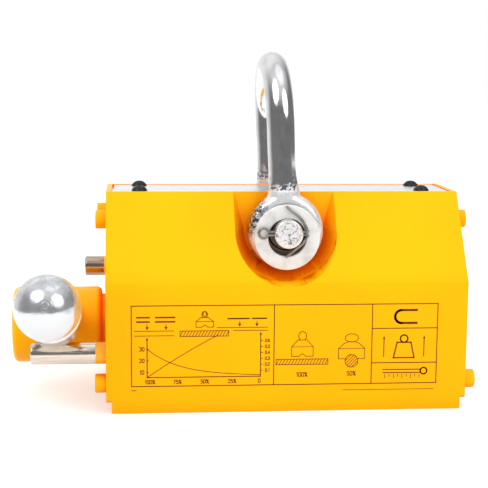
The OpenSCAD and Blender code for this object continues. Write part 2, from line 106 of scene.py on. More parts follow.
class Graph:
    """Builds one procedural material; coordinates come in millimetres of the CAD frame."""

    def __init__(self, name, roughness=0.5, metallic=0.0, **constants):
        self.material = bpy.data.materials.new(name)
        self.material.use_nodes = True
        self.tree = self.material.node_tree
        self.shader = self.tree.nodes["Principled BSDF"]
        self.set("Roughness", roughness)
        self.set("Metallic", metallic)
        for socket, value in constants.items():
            self.set(socket.replace("_", " "), value)
        place = self.add("ShaderNodeTexCoord").outputs["Object"]
        scale = self.add("ShaderNodeVectorMath", operation="SCALE")
        self.link(place, scale.inputs[0])
        scale.inputs["Scale"].default_value = 1 / MM
        self.place = scale.outputs[0]

    def add(self, kind, **settings):
        node = self.tree.nodes.new(kind)
        for key, value in settings.items():
            setattr(node, key, value)
        return node

    def link(self, source, socket):
        self.tree.links.new(source, socket)

    def put(self, value, socket):
        """Links a socket, or sets a plain value."""
        if isinstance(value, bpy.types.NodeSocket):
            self.link(value, socket)
        else:
            socket.default_value = value

    def set(self, name, value):
        self.put(value, self.shader.inputs[name])

    def stretched(self, x, y, z):
        """Coordinates scaled along each axis, for grain that runs one way."""
        node = self.add("ShaderNodeVectorMath", operation="MULTIPLY")
        self.link(self.place, node.inputs[0])
        node.inputs[1].default_value = (x, y, z)
        return node.outputs[0]

    def noise(self, size, detail=3.0, rough=0.5, distortion=0.0, place=None):
        """Noise from 0 to 1 whose features are about size millimetres."""
        node = self.add("ShaderNodeTexNoise")
        self.link(place or self.place, node.inputs["Vector"])
        node.inputs["Scale"].default_value = 1 / size
        node.inputs["Detail"].default_value = detail
        node.inputs["Roughness"].default_value = rough
        node.inputs["Distortion"].default_value = distortion
        return node.outputs["Fac"]

    def math(self, operation, a, b=0.0, clamp=False):
        node = self.add("ShaderNodeMath", operation=operation, use_clamp=clamp)
        self.put(a, node.inputs[0])
        self.put(b, node.inputs[1])
        return node.outputs[0]

    def remap(self, value, low, high, to_low=0.0, to_high=1.0):
        """A smooth step from low to high, mapped on to_low to to_high."""
        node = self.add("ShaderNodeMapRange", interpolation_type="SMOOTHSTEP")
        self.link(value, node.inputs["Value"])
        node.inputs["From Min"].default_value = low
        node.inputs["From Max"].default_value = high
        node.inputs["To Min"].default_value = to_low
        node.inputs["To Max"].default_value = to_high
        return node.outputs["Result"]

    def blend(self, factor, a, b):
        """Mixes two numbers."""
        node = self.add("ShaderNodeMix", data_type="FLOAT")
        self.put(factor, node.inputs["Factor"])
        self.put(a, node.inputs["A"])
        self.put(b, node.inputs["B"])
        return node.outputs["Result"]

    def mix(self, factor, a, b):
        """Mixes two colours, or colour sockets."""
        node = self.add("ShaderNodeMix", data_type="RGBA")
        self.put(factor, node.inputs["Factor"])
        self.put((*a, 1) if isinstance(a, tuple) else a, node.inputs["A"])
        self.put((*b, 1) if isinstance(b, tuple) else b, node.inputs["B"])
        return node.outputs["Result"]

    def bump(self, height, depth, normal=None):
        """Bump of depth millimetres for a height from 0 to 1."""
        node = self.add("ShaderNodeBump")
        self.put(height, node.inputs["Height"])
        node.inputs["Distance"].default_value = depth * MM
        if normal is not None:
            self.link(normal, node.inputs["Normal"])
        return node.outputs["Normal"]

    def axis(self, index):
        """One coordinate, in millimetres."""
        node = self.add("ShaderNodeSeparateXYZ")
        self.link(self.place, node.inputs[0])
        return node.outputs[index]

    def occlusion(self, reach):
        """1 in the open and 0 in deep corners, looking reach millimetres around."""
        node = self.add("ShaderNodeAmbientOcclusion", samples=6)
        node.inputs["Distance"].default_value = reach * MM
        return node.outputs["AO"]

    def edges(self, width):
        """1 on edges and 0 on flats: how far a normal rounded over width differs from the true one."""
        bevel = self.add("ShaderNodeBevel", samples=4)
        bevel.inputs["Radius"].default_value = width * MM
        geometry = self.add("ShaderNodeNewGeometry")
        dot = self.add("ShaderNodeVectorMath", operation="DOT_PRODUCT")
        self.link(bevel.outputs["Normal"], dot.inputs[0])
        self.link(geometry.outputs["Normal"], dot.inputs[1])
        return self.remap(dot.outputs["Value"], 0.995, 0.9)


# ---------------------------------------------------------------- materials

PAINT = (0.98, 0.445, 0.0)
PAINT_DEEP = (0.97, 0.39, 0.0)
# painted shade: the enamel's tone deep in corners and gaps
PAINTED_CORNER_SHADE = (1.0, 0.18, 0.0)
PAINT_WORN = (0.62, 0.20, 0.002)


def paint_material():
    """Thick satin enamel: faint orange peel, slow tone drift, painted shade turning it red-orange in corners
    and gaps, rubbed on edges.
    """
    g = Graph("yellow_enamel", Specular_IOR_Level=0.2, Specular_Tint=(1, 0.85, 0.4, 1))
    drift = g.noise(46, 2, 0.4)
    mottle = g.noise(2.6, 4, 0.6)
    tone = g.mix(g.remap(drift, 0.35, 0.72, 0.0, 0.45), PAINT, PAINT_DEEP)
    tone = g.mix(g.remap(mottle, 0.55, 0.8, 0.0, 0.2), tone, PAINT_DEEP)
    # painted shade: red-orange where ambient occlusion finds corners, gaps and the pocket
    tone = g.mix(g.remap(g.occlusion(14), 0.66, 0.15), tone, PAINTED_CORNER_SHADE)
    rub = g.math("MULTIPLY", g.edges(0.35), g.remap(g.noise(4.5, 4, 0.65), 0.46, 0.62))
    tone = g.mix(g.math("MULTIPLY", rub, 0.5), tone, PAINT_WORN)
    g.set("Base Color", tone)
    g.set("Roughness", g.remap(g.noise(9, 3, 0.55), 0.3, 0.7, 0.3, 0.42))
    peel = g.bump(g.noise(1.5, 2, 0.4), 0.020, crease_softness(g))
    dust = g.bump(g.remap(g.noise(0.45, 2, 0.5), 0.66, 0.76), 0.015, peel)
    g.set("Normal", dust)
    return g.material


def crease_softness(g):
    """Normal of the paint with the crease under the slopes rounded over a few millimetres."""
    reach = 6.0
    away = g.math("ABSOLUTE", g.math("SUBTRACT", g.axis("Z"), SIDE_Z))
    near = g.math("SUBTRACT", 1.0, g.math("DIVIDE", away, reach), clamp=True)
    half_bend = 0.31                # tangent of half the angle between side and slope
    on_block = g.remap(g.math("ABSOLUTE", g.axis("X")), COVER_X - 0.1, COVER_X - 0.4)
    dip = g.math("MULTIPLY", g.math("MULTIPLY", near, near), on_block)
    return g.bump(g.math("SUBTRACT", 1.0, dip), half_bend * reach / 2)


def steel_material(name, tone, dark, roughness, grain=(1, 1, 1), scratch=0.02, peel=0.0):
    """Bare or plated metal: smudges from tone to dark, fine scratches, and a peel of its plating.

    grain stretches the scratches along the axes whose factor is small.
    """
    g = Graph(name, metallic=1.0)
    smudge = g.noise(7, 4, 0.6, 0.4)
    streak = g.noise(1.1, 4, 0.6, place=g.stretched(*grain))
    g.set("Base Color", g.mix(g.remap(smudge, 0.35, 0.75), tone, dark))
    base = g.remap(streak, 0.25, 0.75, roughness * 0.75, roughness * 1.35)
    g.set("Roughness", g.math("ADD", base, g.remap(smudge, 0.5, 0.8, 0.0, 0.10)))
    normal = g.bump(streak, scratch)
    if peel:
        normal = g.bump(g.noise(2.2, 3, 0.55), peel, normal)
    g.set("Normal", normal)
    return g.material


def shackle_material():
    """Bright zinc over a forging: mirror-like on the bar, satin on the eyes, pitted at two places, with
    painted shade close round the pin.
    """
    g = Graph("zinc_forging", metallic=1.0)
    height = g.axis("Z")
    across = g.math("POWER", g.axis("X"), 2.0)
    above = g.math("POWER", g.math("SUBTRACT", height, PIN_Z), 2.0)
    from_pin = g.math("SQRT", g.math("ADD", across, above))
    low_part = g.remap(height, PIN_Z + 23, PIN_Z + 20)
    band_foot = g.remap(height, PIN_Z + 18, PIN_Z + 19.5)
    band_top = g.remap(height, PIN_Z + 23, PIN_Z + 21)
    neck_band = g.math("MULTIPLY", band_foot, band_top)
    eye_flank = g.math("MULTIPLY", g.remap(g.axis("X"), -7, -12), g.remap(height, PIN_Z - 5, PIN_Z + 2))
    pitted = g.math("MAXIMUM", neck_band, g.math("MULTIPLY", eye_flank, low_part))
    smudge = g.noise(9, 4, 0.6, 0.3)
    clean = g.mix(g.remap(smudge, 0.35, 0.75), (0.80, 0.80, 0.81), (0.66, 0.66, 0.68))
    spots = g.math("MULTIPLY", g.remap(g.noise(1.5, 4, 0.65, 0.4), 0.52, 0.45), pitted)
    tone = g.mix(spots, clean, (0.10, 0.11, 0.13))
    # painted shade: dark brown on the eye close round the pin, where the washer shades it
    g.set("Base Color", g.mix(g.remap(from_pin, 13.5, 12.5), tone, (0.09, 0.06, 0.045)))
    g.set("Metallic", g.remap(g.math("SUBTRACT", low_part, eye_flank), 0.0, 1.0, 1.0, 0.5))
    grain = g.noise(1.2, 4, 0.6, place=g.stretched(1, 1, 0.06))
    bar = g.remap(grain, 0.2, 0.8, 0.06, 0.13)
    eye = g.remap(g.noise(2.4, 4, 0.6), 0.35, 0.65, 0.16, 0.30)
    g.set("Roughness", g.blend(low_part, bar, eye))
    waves = g.bump(g.noise(16, 2, 0.4), 0.12)
    fine = g.bump(grain, 0.005, waves)
    skin = g.bump(g.math("MULTIPLY", g.noise(3.2, 3, 0.5), low_part), 0.10, fine)
    g.set("Normal", g.bump(g.math("MULTIPLY", g.noise(1.3, 5, 0.65, 0.3), pitted), 0.30, skin))
    return g.material


def ball_material():
    """Polished casting: tarnish mottling with painted shade that darkens its upper half, a small turning mark
    at the tip.
    """
    g = Graph("polished_casting", metallic=0.82)
    tip = tip_distance(g)
    centre_z = lever_point(BALL_S).z / MM
    # partly tarnish, partly painted shade: the dark mottling is kept mostly to the upper half, standing in
    # for the dim room it reflects
    upper = g.remap(g.axis("Z"), centre_z - 3, centre_z + 1, 0.2, 1.0)
    smudge = g.math("MULTIPLY", g.noise(5.0, 5, 0.65, 0.9), upper)
    g.set("Base Color", g.mix(g.remap(smudge, 0.38, 0.66), (0.70, 0.71, 0.73), (0.50, 0.52, 0.55)))
    near = g.remap(tip, 3.8, 0.8)
    wobble = g.math("ADD", tip, g.math("MULTIPLY", g.noise(2.0, 3, 0.6), 1.1))
    rings = g.add("ShaderNodeMath", operation="SINE")
    g.link(g.math("MULTIPLY", wobble, 4.6), rings.inputs[0])
    turned = g.math("MULTIPLY", rings.outputs[0], near)
    tarnish = g.remap(smudge, 0.3, 0.75, 0.13, 0.26)
    g.set("Roughness", g.math("ADD", tarnish, g.math("MULTIPLY", near, 0.1)))
    normal = g.bump(g.math("MULTIPLY", g.noise(5.5, 4, 0.55), upper), 0.14)
    normal = g.bump(g.noise(1.0, 4, 0.6), 0.02, normal)
    g.set("Normal", g.bump(turned, 0.03, normal))
    return g.material


def tip_distance(g):
    """Distance in millimetres from the ball's outer tip."""
    away = g.add("ShaderNodeVectorMath", operation="DISTANCE")
    g.link(g.place, away.inputs[0])
    away.inputs[1].default_value = lever_point(BALL_S + BALL_R) / MM
    return away.outputs["Value"]


def cut_end_material():
    """Sawn and hammered end of the pin: bright, with torn dents."""
    g = Graph("sawn_steel", metallic=1.0)
    torn = g.noise(2.3, 5, 0.68, 1.4)
    dents = g.remap(torn, 0.47, 0.38)
    g.set("Base Color", g.mix(g.math("MULTIPLY", dents, 0.8), (0.90, 0.90, 0.91), (0.16, 0.16, 0.17)))
    g.set("Roughness", g.remap(torn, 0.35, 0.65, 0.45, 0.3))
    g.set("Normal", g.bump(torn, 0.9))
    return g.material


def washer_material():
    """Zinc on a stamped washer: fine scratches both ways."""
    g = Graph("stamped_zinc", metallic=0.55)
    one_way = g.noise(0.9, 4, 0.65, place=g.stretched(0.25, 1, 1.2))
    other_way = g.noise(1.1, 4, 0.6, place=g.stretched(1.1, 1, 0.2))
    scratch = g.math("ADD", one_way, g.math("MULTIPLY", other_way, 0.6))
    smudge = g.noise(6, 4, 0.6, 0.3)
    g.set("Base Color", g.mix(g.remap(smudge, 0.4, 0.75), (0.88, 0.87, 0.85), (0.70, 0.69, 0.67)))
    g.set("Roughness", g.remap(scratch, 0.5, 1.1, 0.35, 0.6))
    g.set("Normal", g.bump(scratch, 0.06))
    return g.material


def black_material():
    """Black oxide of the small screws: satin, with rubbed edges."""
    g = Graph("black_oxide", metallic=0.6)
    rub = g.math("MULTIPLY", g.edges(0.12), g.remap(g.noise(1.2, 3, 0.6), 0.42, 0.6))
    tone = g.mix(g.remap(g.noise(1.7, 3, 0.6), 0.3, 0.7), (0.012, 0.012, 0.013), (0.03, 0.03, 0.032))
    g.set("Base Color", g.mix(rub, tone, (0.22, 0.21, 0.2)))
    g.set("Roughness", g.remap(g.noise(0.8, 3, 0.6), 0.3, 0.7, 0.26, 0.42))
    g.set("Normal", g.bump(g.noise(0.35, 2, 0.5), 0.008))
    return g.material


def ink_material():
    """Printed ink: dark red-brown, slightly uneven."""
    g = Graph("printed_ink", roughness=0.5, Specular_IOR_Level=0.3)
    patch = g.noise(1.4, 4, 0.6)
    g.set("Base Color", g.mix(g.remap(patch, 0.4, 0.75), (0.105, 0.016, 0.004), (0.19, 0.035, 0.006)))
    g.set("Roughness", g.remap(patch, 0.3, 0.7, 0.4, 0.6))
    g.set("Normal", g.bump(g.noise(0.5, 2, 0.5), 0.006))
    return g.material


def plate_material():
    """Rolled aluminium sheet with a fine lengthwise grain."""
    lengthwise = (0.05, 1, 1)
    return steel_material("rolled_aluminium", (0.93, 0.93, 0.94), (0.84, 0.84, 0.86), 0.32, lengthwise, 0.006)


def magnet_material():
    """Nickel plating."""
    return steel_material("nickel_plate", (0.72, 0.70, 0.66), (0.6, 0.58, 0.55), 0.2, (1, 1, 1), 0.006)


def brass_material():
    """Milled brass strip, dull between the poles."""
    return steel_material("milled_brass", (0.76, 0.53, 0.22), (0.5, 0.33, 0.13), 0.34, (0.06, 1, 1), 0.012)


def bronze_material():
    """Sintered bronze: grainy and oily."""
    return steel_material("sintered_bronze", (0.56, 0.34, 0.15), (0.36, 0.21, 0.09), 0.42, (1, 1, 1), 0.03)


def foot_paint(length, bright, dull):
    """Pin steel of two tones, under paint for the given length from the cover."""
    g = Graph(f"pin_with_painted_foot_{length:g}", Coat_Weight=0.0)
    x = g.axis("X")
    waver = g.math("MULTIPLY", g.noise(2.5, 3, 0.6), 0.9)
    edge = g.math("ADD", x, waver)
    painted = g.remap(edge, -COVER_X - length + 0.35, -COVER_X - length + 0.55)
    streak = g.noise(0.7, 4, 0.6, place=g.stretched(0.04, 1, 1))
    steel = g.mix(g.remap(streak, 0.3, 0.7), bright, dull)
    g.set("Base Color", g.mix(painted, steel, PAINT))
    g.set("Metallic", g.math("SUBTRACT", 1.0, painted))
    polish = g.remap(streak, 0.2, 0.8, 0.12, 0.22)
    g.set("Roughness", g.math("ADD", polish, g.math("MULTIPLY", painted, 0.16)))
    lip = g.bump(painted, 0.08)
    g.set("Normal", g.bump(streak, 0.008, lip))
    return g.material


# ---------------------------------------------------------------- mesh tools

def lever_point(s, x=LEVER_X):
    """A point on the lever's axis, s millimetres from the rotor's axis, in metres."""
    return mm(x, -s * math.cos(LEVER_TILT), ROTOR_Z + s * math.sin(LEVER_TILT))


def new_object(name, bm, materials, smooth_angle=30):
    """An object from a bmesh, smooth except at edges sharper than smooth_angle degrees."""
    mesh = bpy.data.meshes.new(name)
    bm.normal_update()
    bm.to_mesh(mesh)
    bm.free()
    for material in materials:
        mesh.materials.append(material)
    mesh.polygons.foreach_set("use_smooth", [True] * len(mesh.polygons))
    mesh.set_sharp_from_angle(angle=math.radians(smooth_angle))
    piece = bpy.data.objects.new(name, mesh)
    bpy.context.scene.collection.objects.link(piece)
    return piece


def baked(piece):
    """Applies a piece's modifiers."""
    bpy.context.view_layer.update()
    graph = bpy.context.evaluated_depsgraph_get()
    mesh = bpy.data.meshes.new_from_object(piece.evaluated_get(graph))
    piece.modifiers.clear()
    piece.data = mesh
    return piece


def stands_for(piece, body, *replaced):
    """The piece rides on a body in place of CAD nodes, which are hidden."""
    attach(piece, body)
    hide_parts(*replaced)
    return piece


def merged_mesh(node):
    """A CAD node's mesh with its seams joined and its flat faces merged."""
    bm = bmesh.new()
    bm.from_mesh(nodes[node].data)
    bmesh.ops.remove_doubles(bm, verts=bm.verts, dist=mm(0.002))
    bmesh.ops.dissolve_limit(bm, angle_limit=math.radians(0.5), verts=bm.verts, edges=bm.edges)
    return bm


def rounded(name, node, body, weight, width, materials, choose=None, segments=3, flat_above=None):
    """A CAD node's shape with its edges rounded.

    weight(middle, edge) gives each sharp edge its share of width, from 0 to 1, and
    choose(centre, normal) gives each face its material's number. Faces of the first
    material larger than flat_above square millimetres are shaded flat.
    """
    bm = merged_mesh(node)
    layer = bm.edges.layers.float.new("bevel_weight_edge")
    for edge in bm.edges:
        sharp = len(edge.link_faces) == 2 and edge.calc_face_angle(0) > math.radians(18)
        middle = (edge.verts[0].co + edge.verts[1].co) / 2 / MM
        edge[layer] = weight(middle, edge) if sharp else 0.0
    if choose:
        for face in bm.faces:
            face.material_index = choose(face.calc_center_median() / MM, face.normal)
    piece = new_object(name, bm, materials)
    bevel = piece.modifiers.new("rounding", "BEVEL")
    bevel.limit_method = "WEIGHT"
    bevel.width = mm(width)
    bevel.segments = segments
    if flat_above:
        baked(piece)
        for face in piece.data.polygons:
            face.use_smooth = face.material_index > 0 or face.area < flat_above * MM * MM
        return stands_for(piece, body, node)
    even = piece.modifiers.new("even_normals", "WEIGHTED_NORMAL")
    even.weight = 100
    even.keep_sharp = True
    return stands_for(piece, body, node)


def tube(name, path, radius, sides, materials):
    """A round wire along points in metres, which lie near a plane of constant Y."""
    bm = bmesh.new()
    rings = []
    count = len(path)
    for i, point in enumerate(path):
        along = (path[min(i + 1, count - 1)] - path[max(i - 1, 0)]).normalized()
        side = along.cross(Vector((0, 1, 0))).normalized()
        up = side.cross(along)
        ring = []
        for k in range(sides):
            a = math.tau * k / sides
            ring.append(bm.verts.new(point + radius * (math.cos(a) * side + math.sin(a) * up)))
        rings.append(ring)
    for low, high in zip(rings, rings[1:]):
        for k in range(sides):
            bm.faces.new((low[k], low[(k + 1) % sides], high[(k + 1) % sides], high[k]))
    bm.faces.new(rings[0][::-1])
    bm.faces.new(rings[-1])
    bmesh.ops.recalc_face_normals(bm, faces=bm.faces)
    return new_object(name, bm, materials)


def smooth_path(points, steps=6):
    """Catmull-Rom points through the given ones."""
    result = []
    ends = [2 * points[0] - points[1], *points, 2 * points[-1] - points[-2]]
    for a, b, c, d in zip(ends, ends[1:], ends[2:], ends[3:]):
        for i in range(steps):
            t = i / steps
            result.append(
                0.5 * (2 * b + (c - a) * t + (2 * a - 5 * b + 4 * c - d) * t ** 2
                       + (3 * b - a - 3 * c + d) * t ** 3)
            )
    return [*result, points[-1]]


# ---------------------------------------------------------------- block and covers, and every material

paint = paint_material()
ground = steel_material("ground_steel", (0.62, 0.60, 0.58), (0.48, 0.46, 0.44), 0.26, (0.06, 1, 1), 0.012)
turned = steel_material("turned_steel", (0.42, 0.42, 0.43), (0.3, 0.3, 0.31), 0.3, (1, 0.1, 0.1), 0.012)
pin_steel = steel_material("plated_pin", (0.80, 0.78, 0.75), (0.68, 0.65, 0.62), 0.16, (0.05, 1, 1), 0.006)
zinc = steel_material("zinc_plate", (0.84, 0.84, 0.84), (0.66, 0.66, 0.67), 0.24, (1, 1, 0.5), 0.035, 0.05)
forging = shackle_material()
polished = ball_material()
sawn = cut_end_material()
stamped = washer_material()
wire_steel = steel_material("drawn_wire", (0.34, 0.33, 0.31), (0.2, 0.19, 0.18), 0.34, (1, 1, 1), 0.01)
# painted shade: dark brown for the pin's shoulder, seen in the shaded gap of the washer's hole
shoulder_shade = steel_material("painted_shade_shoulder", (0.13, 0.09, 0.07), (0.05, 0.035, 0.03), 0.4)
black = black_material()
ink = ink_material()
rolled = plate_material()
nickel = magnet_material()
brass = brass_material()
bronze = bronze_material()


def pole_weight(middle, edge):
    """Rounding of a painted pole: soft outside and in the pocket, little under the covers, none inside."""
    y = abs(middle.y)
    if abs(middle.x) > BLOCK_X - 0.1:
        return 0.12 if middle.z < 5 or y > TOP_Y else 0.0
    if middle.z < 0.1:
        return 0.3
    if y < TOP_Y - 0.1 or (middle.z < SIDE_Z - 3 and y < -FRONT_Y - 0.1):
        return 0.0
    on_pocket = abs(middle.x) < POCKET_R + 0.5 and middle.z > SIDE_Z - 3
    if on_pocket and math.hypot(middle.x, middle.z - PIN_Z) < 9:    # rim of the pin's hole
        return 0.15
    return 0.85 if on_pocket else 1.0


def pole_face(centre, normal):
    """Paint outside, ground steel on the pole face and in the V groove, turned steel in the bore."""
    if normal.z < -0.6 and centre.z < 7:
        return 1
    if math.hypot(centre.y, centre.z - ROTOR_Z) < BORE_R + 0.2 or abs(centre.y) < SLOT_Y + 0.2:
        return 2
    return 0


def cover_weight(middle, edge):
    """Rounding of an end cover: its outer edges in full, the hub's hole less, the inner side none."""
    if abs(middle.x) < COVER_X - 0.1:
        return 0.0
    return 0.4 if math.hypot(middle.y, middle.z - ROTOR_Z) < BORE_R + 0.5 else 1.0


def add_block():
    """Both pole shoes and both end covers."""
    for side in ("front", "rear"):
        rounded(f"painted_{side}_pole", f"{side}_pole", "body", pole_weight, 1.3,
                [paint, ground, turned], pole_face, flat_above=60)
    for side in ("left", "right"):
        rounded(f"painted_{side}_cover", f"{side}_end_cover", "body", cover_weight, 0.7,
                [paint], flat_above=60)


add_block()


# ---------------------------------------------------------------- screws, pins and top plate

def everywhere(share):
    """The same rounding on every sharp edge."""
    return lambda middle, edge: share


def add_pins_and_screws():
    """Painted cover screws, the top plate with its black screws, and the three pins."""
    for side in ("left", "right"):
        heads = f"{side}_cover_screws"
        rounded(f"painted_{side}_screws", heads, "body", everywhere(1), 0.25, [paint], segments=2)
    rounded("black_plate_screws", "top_plate_screws", "body", everywhere(1), 0.12, [black], segments=2)
    rounded("rolled_top_plate", "top_plate", "body", everywhere(1), 0.2, [rolled], segments=2)
    long_pin = foot_paint(4.7, (0.76, 0.68, 0.60), (0.62, 0.54, 0.46))
    # painted reflection: the short pin's brown steel tones stand in for the orange body it reflects
    short_pin_painted_reflection = foot_paint(2.0, (0.56, 0.45, 0.36), (0.36, 0.27, 0.19))
    for node, look in (("front_stop_pin", long_pin), ("rear_stop_pin", long_pin), ("keeper_pin", short_pin_painted_reflection)):
        rounded(f"ground_{node}", node, "body", everywhere(1), 0.15, [look], segments=2)


add_pins_and_screws()


# ---------------------------------------------------------------- shackle, its pin and washer

def bow_ring(s):
    """Centre, outward direction and half width of the bow's bar at s millimetres from the front eye."""
    arc = math.pi * LEG_Y
    if s < CROWN_UP:
        return Vector((0, -LEG_Y, s)), Vector((0, -1, 0)), s
    if s < CROWN_UP + arc:
        a = (s - CROWN_UP) / LEG_Y
        out = Vector((0, -math.cos(a), math.sin(a)))
        return Vector((0, 0, CROWN_UP)) + LEG_Y * out, out, CROWN_UP
    left = 2 * CROWN_UP + arc - s
    return Vector((0, LEG_Y, left)), Vector((0, 1, 0)), left


def add_ring(bm, y, half, outer, inner):
    """A ring round the Y axis with well rounded outer edges, as one closed skin."""
    count = 96
    fillet = 4.0
    profile = [(inner, half), (inner, -half)]
    arc = [math.radians(90 * i / 6) for i in range(7)]
    for side, angles in ((-1, arc), (1, arc[::-1])):
        for a in angles:
            across = half - fillet + fillet * math.cos(a)
            profile.append((outer - fillet + fillet * math.sin(a), side * across))
    loops = []
    for radius, depth in profile:
        loop = []
        for k in range(count):
            a = math.tau * k / count
            loop.append(bm.verts.new(mm(radius * math.cos(a), y + depth, radius * math.sin(a))))
        loops.append(loop)
    for low, high in zip(loops, [*loops[1:], loops[0]]):
        for k in range(count):
            j = (k + 1) % count
            bm.faces.new((low[k], low[j], high[j], high[k]))


def roughen(mesh):
    """Long hammer waves on the whole forging, lumps on and round the eyes, none in the pin's hole."""
    normals = [vertex.normal.copy() for vertex in mesh.vertices]
    for vertex, normal in zip(mesh.vertices, normals):
        p = vertex.co / MM
        from_pin = math.hypot(p.x, p.z)
        if from_pin < PIN_HOLE_R + 0.4:
            continue
        lumpy = min(1.0, max(0.0, (30 - p.z) / 10)) * min(1.0, (from_pin - PIN_HOLE_R) / 2)
        lumps = 0.06 * lumpy * noise.fractal(p / 2.4, 1.0, 2.0, 3)
        waves = 0.10 * noise.noise(p / 14)
        vertex.co += normal * mm(lumps + waves)


def add_shackle():
    """One forging: a bar swept over the crown, flared into two flat eyes, then melted together."""
    bm = bmesh.new()
    sides = 48
    steps = 150
    foot = 10.5                     # the bar starts inside the eye, this far above the pin
    total = 2 * CROWN_UP + math.pi * LEG_Y
    rings = []
    for i in range(steps + 1):
        centre, out, from_pin = bow_ring(foot + (total - 2 * foot) * i / steps)
        flare = max(0.0, 1 - max(0.0, from_pin - 14) / 15)      # 1 up to 14 mm, 0 from 29 mm
        half_x = BAR_R + 1.3 * flare ** 1.6
        ring = []
        for k in range(sides):
            a = math.tau * k / sides
            p = centre + Vector((math.cos(a) * half_x, 0, 0)) + math.sin(a) * BAR_R * out
            ring.append(bm.verts.new(p * MM))
        rings.append(ring)
    for low, high in zip(rings, rings[1:]):
        for k in range(sides):
            bm.faces.new((low[k], low[(k + 1) % sides], high[(k + 1) % sides], high[k]))
    bm.faces.new(rings[0][::-1])
    bm.faces.new(rings[-1])
    for side in (-1, 1):
        add_ring(bm, side * LEG_Y, BAR_R, EYE_R, PIN_HOLE_R)
    bmesh.ops.recalc_face_normals(bm, faces=bm.faces)
    piece = new_object("forged_shackle", bm, [forging], 180)
    melt = piece.modifiers.new("melt", "REMESH")
    melt.mode = "VOXEL"
    melt.voxel_size = mm(0.8)
    soft = piece.modifiers.new("soft", "SMOOTH")
    soft.iterations = 3
    soft.factor = 0.5
    baked(piece)
    roughen(piece.data)
    piece.matrix_world = Matrix.Translation(mm(0, 0, PIN_Z)) @ Matrix.Rotation(-LEAN, 4, "Y")
    bpy.context.view_layer.update()
    piece.data.transform(piece.matrix_world)
    piece.matrix_world = Matrix.Identity(4)
    piece.data.polygons.foreach_set("use_smooth", [True] * len(piece.data.polygons))
    piece.data.set_sharp_from_angle(angle=math.radians(50))
    return stands_for(piece, "shackle", "shackle")


def pin_face(centre, normal):
    """Plating round the pin, its sawn end, and painted shade on the shoulder where the thin end starts, in
    the washer's hole.
    """
    if normal.y > -0.9:
        return 0
    return 1 if centre.y < PIN_TIP_Y + 0.5 else 2


def add_pin_and_washer():
    """The shackle's pin and the loose washer on its thin end."""
    looks = [zinc, sawn, shoulder_shade]
    rounded("plated_shackle_pin", "shackle_pin", "body", everywhere(0.5), 0.5, looks, pin_face, segments=2)
    rounded("zinc_washer", "pin_washer", "body", everywhere(1), 0.35, [stamped], segments=3)


def add_cotter():
    """Split pin: one wire from the upper leg's bent end, round the eye, to the lower leg's."""
    eye_x, eye_r = -11.0, 2.2
    half = 0.66                     # from the middle of the fold to each wire's centre
    upper = [(-0.8, 0.8, 12.2), (2.1, 0.6, 9.6), (4.2, 0.4, 8.2), (6, 0.3, 6.4), (7.8, 0.1, 3.6),
             (8.6, 0, 1.6), (8, 0, half)]
    lower = [(8, 0, -half), (8.7, 0, -1.5), (7.8, 0.1, -3.2), (6.4, 0.3, -5.2), (3, 0.6, -8),
             (-0.8, 0.8, -11)]
    eye = []
    for i in range(17):
        a = math.radians(30 + 300 * i / 16)
        eye.append((eye_x + eye_r * math.cos(a), 0, eye_r * math.sin(a)))
    route = [*upper, (-7, 0, half), *eye, (-7, 0, -half), *lower]
    points = [mm(x, COTTER_Y + y, PIN_Z + z) for x, y, z in route]
    piece = tube("split_pin_wire", smooth_path(points, 4), mm(0.62), 16, [wire_steel])
    return stands_for(piece, "body", "cotter_pin")


add_shackle()
add_pin_and_washer()
add_cotter()


# ---------------------------------------------------------------- handle

def lathe(name, profile, origin, axis, materials, segments=96):
    """A turned piece: profile points are (radius, distance along axis) in millimetres."""
    bm = bmesh.new()
    turn = Vector((0, 0, 1)).rotation_difference(axis).to_matrix()
    rings = []
    for radius, along in profile:
        if radius < 1e-6:
            rings.append([bm.verts.new(origin + turn @ mm(0, 0, along))])
            continue
        ring = []
        for k in range(segments):
            a = math.tau * k / segments
            ring.append(bm.verts.new(origin + turn @ mm(radius * math.cos(a), radius * math.sin(a), along)))
        rings.append(ring)
    for low, high in zip(rings, rings[1:]):
        for k in range(segments):
            j = (k + 1) % segments
            if len(low) == 1:
                bm.faces.new((low[0], high[k], high[j]))
            elif len(high) == 1:
                bm.faces.new((low[k], low[j], high[0]))
            else:
                bm.faces.new((low[k], low[j], high[j], high[k]))
    bmesh.ops.recalc_face_normals(bm, faces=bm.faces)
    return new_object(name, bm, materials)


def add_ball():
    """Ball with a flat where it meets the lever."""
    start = math.acos(-BALL_FLAT / BALL_R)
    profile = [(0, -BALL_FLAT)]
    count = 56
    for i in range(count):
        a = start * (1 - i / count)
        profile.append((BALL_R * math.sin(a), BALL_R * math.cos(a)))
    profile.append((0, BALL_R))
    axis = Vector((0, -math.cos(LEVER_TILT), math.sin(LEVER_TILT)))
    piece = lathe("polished_ball", profile, lever_point(BALL_S), axis, [polished], 112)
    return stands_for(piece, "handle", "handle_ball")


def add_handle():
    """The painted hub with its plug, the lever and the ball."""
    rounded("painted_hub", "handle_hub", "handle", everywhere(0.5), 0.5, [paint], segments=2)
    rounded("painted_hub_plug", "hub_plug", "handle", everywhere(1), 0.2, [paint], segments=2)
    rounded("turned_lever", "handle_lever", "handle", everywhere(1), 0.3, [pin_steel], segments=2)
    add_ball()


add_handle()


# ---------------------------------------------------------------- printed chart

CHART_LEFT, CHART_RIGHT = -71.0, 68.5
CHART_LOW, CHART_HIGH = 12.5, 49.5
COLUMNS = (-6.6, 38.3)              # where the chart is divided
ROWS = (38.2, 22.1)                 # and its last column
LINE = 0.42                         # width of the frame and the axes
THIN = 0.3                          # of everything else
INK_T = 0.06                        # how far the ink stands out
INK_IN = 0.02                       # and how deep it goes into the paint
HATCH = 1.4                         # spacing of the hatching


